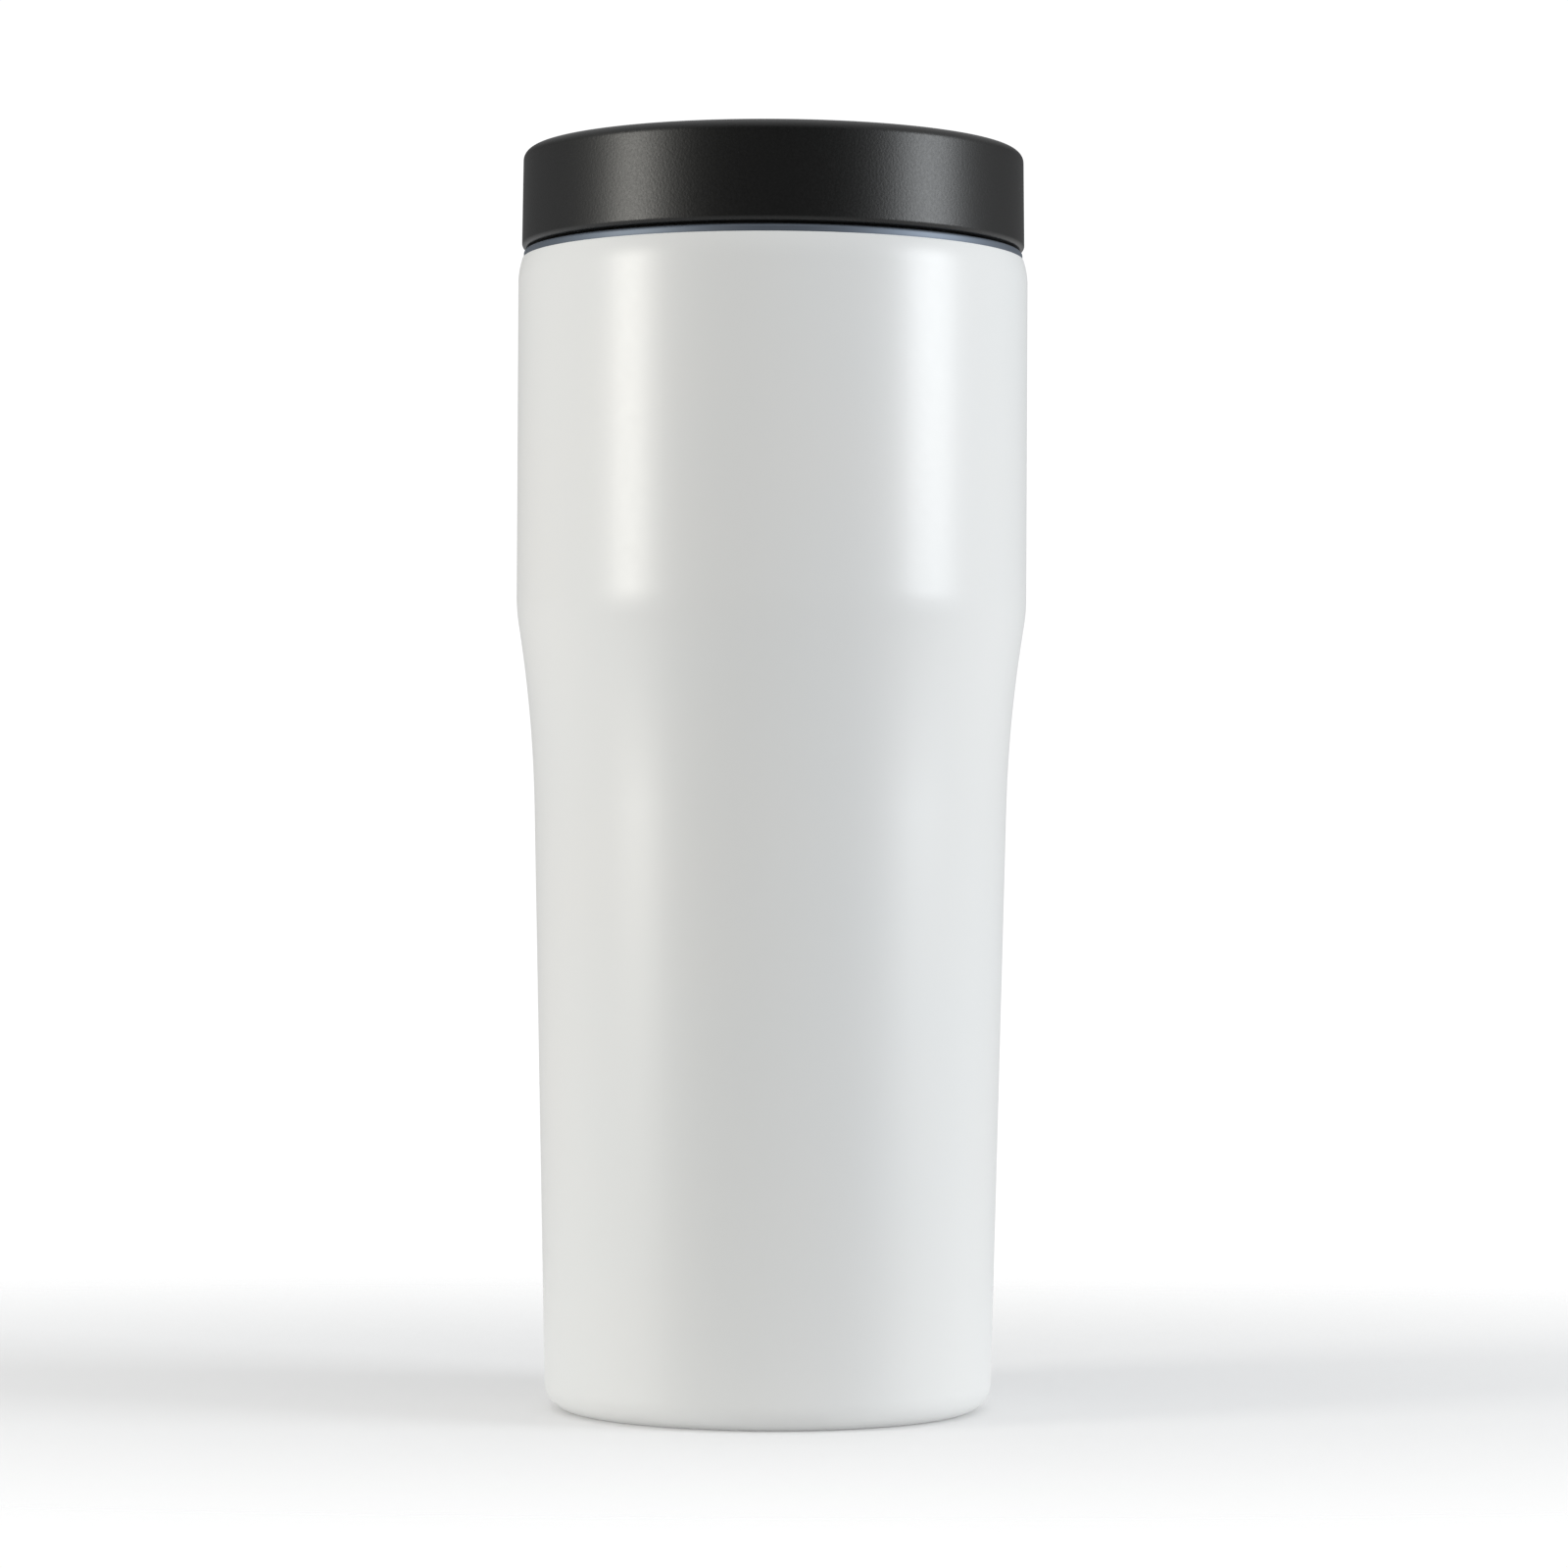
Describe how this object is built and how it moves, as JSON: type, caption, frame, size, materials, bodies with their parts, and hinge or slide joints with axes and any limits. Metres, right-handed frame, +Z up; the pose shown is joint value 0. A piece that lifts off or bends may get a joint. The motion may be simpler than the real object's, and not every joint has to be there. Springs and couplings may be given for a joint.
{
  "type": "insulated tumbler",
  "caption": "Slim double-walled tumbler, wide above and tapered below, with a flat screw-on lid whose centre push button opens an all-round drinking well.",
  "frame": {"origin": "centre of the foot ring, on the surface that the tumbler stands on", "axes": "+Z up along the tumbler's axis; +X and +Y are free, as the outside is round"},
  "size_m": [0.074, 0.074, 0.1823],
  "materials": {
    "coated_shell": "satin white powder coat on stainless steel",
    "steel": "bare stainless steel",
    "copper": "bright copper foil",
    "getter_metal": "sintered metal",
    "solder_glass": "fused solder glass",
    "black_lid": "satin black moulding",
    "grey_plug": "satin grey moulding",
    "acetal": "natural acetal moulding",
    "silicone": "matt silicone"
  },
  "bodies": {
    "vessel": {"outer_shell": "coated_shell", "inner_liner": "steel", "copper_foil": "copper", "shell_base": "steel", "vacuum_seal": "solder_glass", "base_cap": "steel", "getter": "getter_metal", "getter_clip": "steel"},
    "lid_carrier": {"plug_gasket": "silicone"},
    "lid": {"lid_shell": "black_lid", "lid_core": "grey_plug", "deck_gasket": "silicone", "drink_deck": "black_lid", "cam_sleeve": "acetal", "return_spring": "steel", "seal_retainer": "acetal", "stem_seal": "silicone"},
    "valve": {"button": "black_lid", "valve_stem": "steel", "valve_disc": "grey_plug", "valve_seal": "silicone", "valve_nut": "steel"},
    "latch_rotor": {"rotor": "acetal"}
  },
  "joints": [
    {"name": "lid_rise", "type": "slide", "parent": "vessel", "child": "lid_carrier", "axis": [0, 0, 1], "range_m": [0, 0.0725]},
    {"name": "lid_unscrew", "type": "hinge", "parent": "lid_carrier", "child": "lid", "pos_m": [0, 0, 0.16], "axis": [0, 0, 1], "range_deg": [0, 1080]},
    {"name": "button_press", "type": "slide", "parent": "lid", "child": "valve", "axis": [0, 0, -1], "range_m": [0, 0.004], "stiffness_N_per_m": 400, "springref_m": -0.005, "deforming": ["return_spring"]},
    {"name": "rotor_turn", "type": "hinge", "parent": "valve", "child": "latch_rotor", "pos_m": [0, 0, 0.16], "axis": [0, 0, 1], "range_deg": [0, 46]}
  ],
  "couplings": [
    {"joint": "lid_rise", "follows": "lid_unscrew", "m_per_rad": 0.0038197},
    {"joint": "rotor_turn", "follows": "button_press", "rad_per_m": 196.35}
  ]
}
